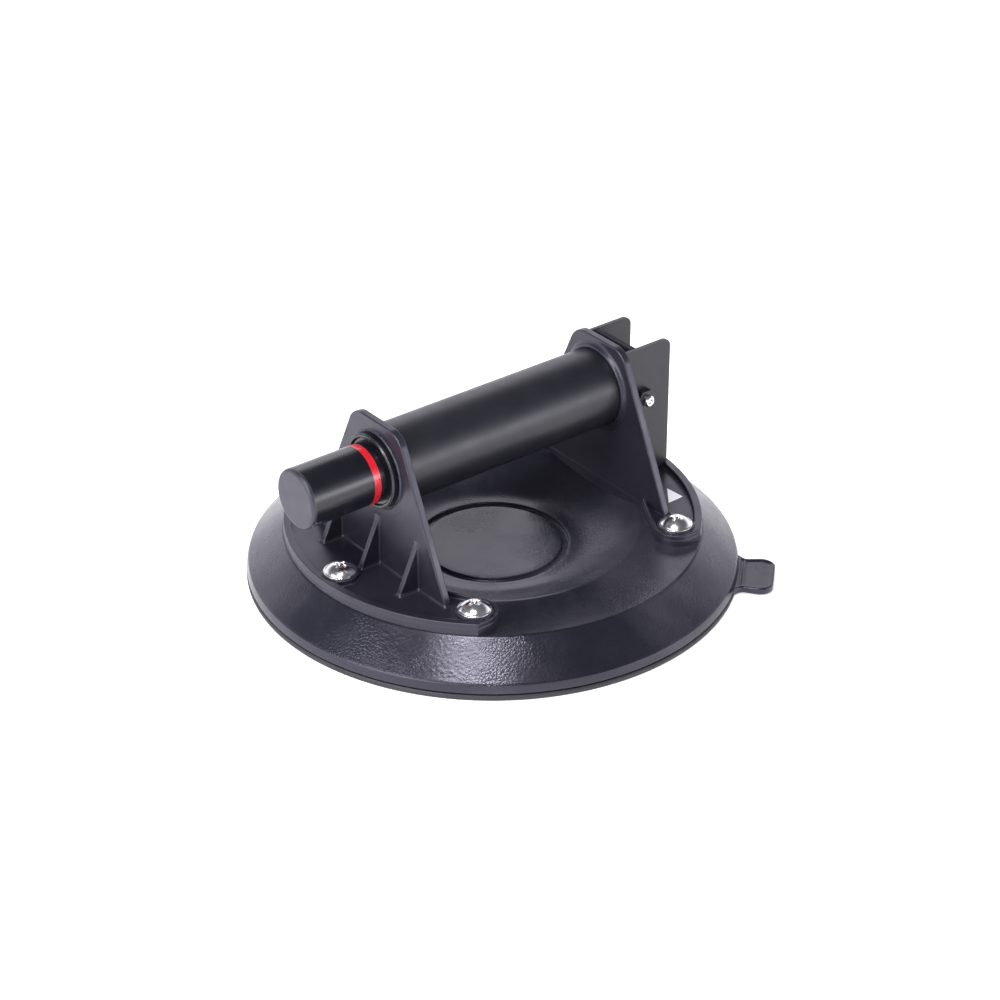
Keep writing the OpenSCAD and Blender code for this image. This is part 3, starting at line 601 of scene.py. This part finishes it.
def round_cut(a, b, radius):
    """Intersection of two signed distances with its edges rounded."""
    u, v = np.maximum(radius + a, 0), np.maximum(radius + b, 0)
    return np.minimum(-radius, np.maximum(a, b)) + np.sqrt(u * u + v * v)


def polygon_distance(corners, u, v):
    """Signed distance to a convex polygon whose corners run anticlockwise."""
    distance = None
    for (u0, v0), (u1, v1) in zip(corners, corners[1:] + corners[:1]):
        length = math.hypot(u1 - u0, v1 - v0)
        edge = ((u - u0) * (v1 - v0) - (v - v0) * (u1 - u0)) / length
        distance = edge if distance is None else np.maximum(distance, edge)
    return distance


def foot_distance(x, y, inset):
    """Distance in plan to a foot of the rear side, shrunk by inset."""
    y = np.abs(y)
    boss_x, boss_y = END_SCREW
    radius = BOSS_R - inset
    boss = np.hypot(x - boss_x, y - boss_y) - radius
    hip = (SUPPORT_X + inset, WAIST_Y)
    away = math.hypot(boss_x - hip[0], boss_y - hip[1])
    turn = math.atan2(boss_y - hip[1], boss_x - hip[0]) + math.asin(radius / away)
    run = math.sqrt(away ** 2 - radius ** 2)
    flank = (hip[0] + run * math.cos(turn), hip[1] + run * math.sin(turn))
    side_y = boss_y + radius
    far_x = boss_x + BOSS_R
    wedge = polygon_distance([hip, (far_x, hip[1]), (far_x, boss_y), (boss_x, boss_y), flank], x, y)
    body = np.maximum(hip[0] - x, y - side_y)
    end = np.maximum(np.maximum(boss_x - x, y - side_y), boss_y - y)
    plan = np.minimum(np.minimum(body, wedge), np.minimum(end, boss))
    return np.maximum(plan, np.hypot(x, y) - (FOOT_R - inset))


def support_distance(y, z):
    """Distance in the YZ plane to an upright with rounded top corners."""
    lean = math.hypot(1, SUPPORT_TAPER)
    side = (np.abs(y) - SUPPORT_HALF_W + SUPPORT_TAPER * (z - FLOOR_Z)) / lean
    return round_cut(side, z - SUPPORT_TOP, CORNER_R)


def bracket_distance(x, y, z, front):
    """Signed distance to a bracket, in millimetres, as if it stood on the rear side."""
    plan = foot_distance(x, y, 0)
    inner = np.maximum(foot_distance(x, y, EDGE_RIM_W), np.hypot(x, y) - (FOOT_R - OUTER_RIM_W))
    shape = round_cut(plan, z - FLOOR_Z, 0.4)
    rim = round_cut(round_cut(plan, -inner, 0.25), z - RIM_TOP, 0.35)
    shape = fillet_join(shape, rim, 0.5)
    for px, py in SCREW_PLACES[3:]:
        radial = np.hypot(x - px, y - py)
        boss = round_cut(radial - HEAD_R - 0.7, z - HEAD_SEAT_Z, 0.4)
        shape = fillet_join(shape, boss, 0.6)
    middle_x = SUPPORT_X + SUPPORT_T / 2
    plate = round_cut(support_distance(y, z), np.abs(x - middle_x) - SUPPORT_T / 2, 0.5)
    plate = np.maximum(plate, FLOOR_Z - 2 - z)
    root_x, toe_x, crest_z = SUPPORT_BACK - 2, SUPPORT_BACK + GUSSET_REACH, FLOOR_Z + GUSSET_H
    side = polygon_distance([(root_x, FLOOR_Z - 1), (toe_x, FLOOR_Z - 1), (toe_x, FLOOR_Z + 0.6),
                             (SUPPORT_BACK, crest_z), (root_x, crest_z)], x, z)
    for py in ((-GUSSET_Y, 0, GUSSET_Y) if front else (-GUSSET_Y, GUSSET_Y)):
        gusset = round_cut(side, np.abs(y - py) - GUSSET_T / 2, 0.45)
        plate = fillet_join(plate, gusset, 0.9)
    axial = np.hypot(y, z - AXIS_Z)
    collar = np.maximum(round_cut(axial - GRIP_R - 1.3, SUPPORT_X - 1.8 - x, 0.7), x - middle_x)
    plate = fillet_join(plate, collar, 1.9)
    if front:
        ring = round_cut(axial - 16.2, x - SUPPORT_BACK - 0.4, 0.2)
        plate = fillet_join(plate, np.maximum(ring, middle_x - x), 0.2)
    # The inner faces of the foot and the upright are flush, so no fillet between those
    fillet = 0.02 + 1.28 * smooth_step(x, SUPPORT_X + 0.6, SUPPORT_X + 2.2)
    shape = fillet_join(shape, plate, fillet)
    radial = np.hypot(x, y)
    # Pressed a little way into the pad, so that the two meet in one clean line
    shape = round_cut(shape, (dish_height(radial) - FOOT_SINK - z) / 1.06, 0.1)
    shape = round_cut(shape, np.where(x < SUPPORT_X + 1.6, GRIP_R + 0.05 - axial, -9.0), 0.2)
    if front:
        shape = round_cut(shape, BORE_R + 0.05 - axial, 0.2)
    for px, py in SCREW_PLACES[3:]:
        shape = round_cut(shape, 3.3 - np.hypot(x - px, y - py), 0.2)
    return shape


def surface_net(distance, low, high, step):
    """Quads on the zero level of a distance function, one point in each cell that it crosses."""
    axes = [np.arange(a, b + step, step) for a, b in zip(low, high)]
    field = distance(axes[0][:, None, None], axes[1][None, :, None], axes[2][None, None, :])
    inside = field < 0
    corners = [(i, j, k) for i in (0, 1) for j in (0, 1) for k in (0, 1)]
    size = [len(a) - 1 for a in axes]

    def shifted(values, corner):
        return values[tuple(slice(c, c + n) for c, n in zip(corner, size))]

    count = sum(shifted(inside, corner).astype(np.int8) for corner in corners)
    cells = np.argwhere((count > 0) & (count < 8))
    values = {corner: field[tuple((cells + corner).T)] for corner in corners}
    total = np.zeros((len(cells), 3))
    crossings = np.zeros(len(cells))
    for a in corners:
        for axis in range(3):
            if a[axis]:
                continue
            b = tuple(c + (n == axis) for n, c in enumerate(a))
            cut = (values[a] < 0) != (values[b] < 0)
            share = values[a][cut] / (values[a][cut] - values[b][cut])
            place = np.tile(np.array(a, float), (cut.sum(), 1))
            place[:, axis] = share
            total[cut] += place
            crossings[cut] += 1
    points = (cells + total / crossings[:, None]) * step + [a[0] for a in axes]
    number = np.full(size, -1, np.int32)
    number[tuple(cells.T)] = np.arange(len(cells))
    faces = []
    for axis in range(3):
        u, v = (axis + 1) % 3, (axis + 2) % 3
        first = [slice(1, -1)] * 3
        second = [slice(1, -1)] * 3
        first[axis], second[axis] = slice(0, -1), slice(1, None)
        leaving = inside[tuple(first)] & ~inside[tuple(second)]
        entering = ~inside[tuple(first)] & inside[tuple(second)]
        for mask, order in ((leaving, (0, 1, 2, 3)), (entering, (3, 2, 1, 0))):
            base = np.argwhere(mask)
            for other in (u, v):
                base[:, other] += 1
            around = []
            for du, dv in ((-1, -1), (0, -1), (0, 0), (-1, 0)):
                cell = base.copy()
                cell[:, u] += du
                cell[:, v] += dv
                around.append(number[tuple(cell.T)])
            faces.append(np.stack([around[k] for k in order], 1))
    return points, np.concatenate(faces)


def slope_of(distance, points, reach=0.02):
    """Gradient of a distance function at the given points."""
    rises = [distance(*(points + step).T) - distance(*(points - step).T) for step in np.eye(3) * reach]
    return np.stack(rises, 1) / (2 * reach)


def bracket(name, node, front):
    """One foot and its upright as a single moulding, with filleted ribs and rounded edges."""
    def distance(x, y, z):
        return bracket_distance(x, y, z, front)

    low, high = box_mm(node)
    reach = sorted((abs(low[0]), abs(high[0])))
    start = (SUPPORT_X - 14, low[1] - 1, low[2] - 1)
    points, faces = surface_net(distance, start, (reach[1] + 1, high[1] + 1, high[2] + 1), VOXEL)
    for _ in range(3):
        slope = slope_of(distance, points)
        squared = np.maximum((slope ** 2).sum(1), 0.2)
        points -= np.clip(distance(*points.T) / squared, -0.2, 0.2)[:, None] * slope
    normals = slope_of(distance, points)
    normals /= np.maximum(np.linalg.norm(normals, axis=1), 1e-6)[:, None]
    if front:
        points[:, 0] *= -1
        normals[:, 0] *= -1
        faces = faces[:, ::-1]
    piece = add_piece(name, points, faces.tolist(), node)
    if len(piece.data.vertices) == len(points):
        piece.data.normals_split_custom_set_from_vertices(normals.tolist())


# ---------------------------------------------------------------- CAD nodes that stay
EDGE_WIDTHS = {"lever_guard": 0.3, "release_lever": 0.5, "grip_tube": 0.2,
               "plunger_cap": 0.1, "lever_nut": 0.25, "manifold": 0.4,
               "hose_clips": 0.12, "port_fitting": 0.15, "manifold_screws": 0.15, "guard_screws": 0.15,
               "release_stem": 0.15, "blank_label": 0.04, "valve_block": 0.2, "pump_barrel": 0.15,
               "guide_bush": 0.15, "exhaust_cage": 0.15, "backing_plate": 0.3, "air_pipe": 0.12}


def soften(part, width):
    """Rounds the sharp edges of a CAD part with modifiers; its own mesh isn't changed."""
    weld = part.modifiers.new("weld", "WELD")
    weld.merge_threshold = 0.002 * MM
    clean = part.modifiers.new("clean", "DECIMATE")
    clean.decimate_type = "DISSOLVE"
    clean.angle_limit = math.radians(0.5)
    bevel = part.modifiers.new("round", "BEVEL")
    bevel.width = width * MM
    bevel.segments = 3
    bevel.limit_method = "ANGLE"
    bevel.angle_limit = math.radians(28)
    bevel.miter_outer = "MITER_ARC"
    shade = part.modifiers.new("shade", "WEIGHTED_NORMAL")
    shade.keep_sharp = False
    shade.weight = 80


for name, part in frame["nodes"].items():
    part.data.materials.clear()
    part.data.materials.append(FINISHES[SLOTS[name]])
    if name in EDGE_WIDTHS:
        soften(part, EDGE_WIDTHS[name])

frame["nodes"]["plunger_tube"].data.materials[0] = POLISHED
frame["nodes"]["release_lever"].data.materials[0] = DULL

pad()
pull_tab()
seals()
foot_screws()
bolt()
bezel()
springs()
bracket("front_moulding", "front_bracket", True)
bracket("rear_moulding", "rear_bracket", False)


# ---------------------------------------------------------------- floor, lights and camera
def floor():
    """A pale floor, clear from below so that the object's underside can be looked at."""
    bpy.ops.mesh.primitive_plane_add(size=6)
    plane = bpy.context.object
    plane.name = "floor"
    plane.location.z = -0.0002
    material = bpy.data.materials.new("floor")
    material.use_nodes = True
    tree = material.node_tree
    shader = tree.nodes["Principled BSDF"]
    place = tree.nodes.new("ShaderNodeTexCoord").outputs["Object"]
    cloud = noise_texture(tree, place, 3.0)
    tree.links.new(mix_colour(tree, cloud, (0.93, 0.93, 0.93), (0.95, 0.95, 0.95)),
                   shader.inputs["Base Color"])
    shader.inputs["Roughness"].default_value = 0.8
    shader.inputs["Specular IOR Level"].default_value = 0.2
    shader.inputs["Emission Color"].default_value = (1, 1, 1, 1)
    shader.inputs["Emission Strength"].default_value = 0.6
    clear = tree.nodes.new("ShaderNodeBsdfTransparent")
    either = tree.nodes.new("ShaderNodeMixShader")
    back = tree.nodes.new("ShaderNodeNewGeometry").outputs["Backfacing"]
    tree.links.new(back, either.inputs[0])
    tree.links.new(shader.outputs["BSDF"], either.inputs[1])
    tree.links.new(clear.outputs["BSDF"], either.inputs[2])
    tree.links.new(either.outputs["Shader"], tree.nodes["Material Output"].inputs["Surface"])
    plane.data.materials.append(material)


KEY_TINT = (0.95, 0.94, 1.0)


def softbox(name, towards, distance, width, height, power):
    """A rectangular lamp in direction towards from the object's middle, facing it."""
    lamp = bpy.data.lights.new(name, "AREA")
    lamp.shape = "RECTANGLE"
    lamp.size = width
    lamp.size_y = height
    lamp.energy = power
    lamp.color = KEY_TINT
    holder = bpy.data.objects.new(name, lamp)
    bpy.context.scene.collection.objects.link(holder)
    direction = Vector(towards).normalized()
    holder.location = Vector((0, 0, 0.04)) + direction * distance
    holder.rotation_mode = "QUATERNION"
    holder.rotation_quaternion = direction.to_track_quat("Z", "Y")


def studio():
    """White round the horizon, darker overhead and behind the camera."""
    world = bpy.data.worlds.new("studio")
    bpy.context.scene.world = world
    world.use_nodes = True
    tree = world.node_tree
    background = tree.nodes["Background"]
    direction = tree.nodes.new("ShaderNodeTexCoord").outputs["Generated"]
    split = tree.nodes.new("ShaderNodeSeparateXYZ")
    tree.links.new(direction, split.inputs[0])
    strength = remap(tree, split.outputs["Z"], 0.3, 0.58, 1.45, 0.14)
    tree.links.new(strength, background.inputs["Strength"])
    background.inputs["Color"].default_value = (0.90, 0.89, 1.0, 1)


def camera():
    """The photograph's viewpoint, 30.6 degrees above the floor."""
    data = bpy.data.cameras.new("camera")
    data.sensor_width = 36
    data.lens = 100.8
    holder = bpy.data.objects.new("camera", data)
    bpy.context.scene.collection.objects.link(holder)
    holder.location = (-0.59812, -0.76676, 0.60361)
    holder.rotation_euler = (math.radians(90 - 30.57), 0, math.radians(-38.13))
    bpy.context.scene.camera = holder


floor()
studio()
softbox("left_key", (-1.0, -0.15, 0.55), 1.1, 0.9, 0.7, 13.2)
softbox("front_right", (0.53, -0.84, 0.14), 1.3, 0.8, 0.32, 4.6)
softbox("overhead", (-0.33, -0.24, 0.91), 1.1, 0.34, 0.24, 8.5)
softbox("backdrop", (0.5, 0.66, 0.5), 1.6, 1.3, 0.55, 3.4)
camera()
bpy.context.scene.view_settings.view_transform = "Standard"
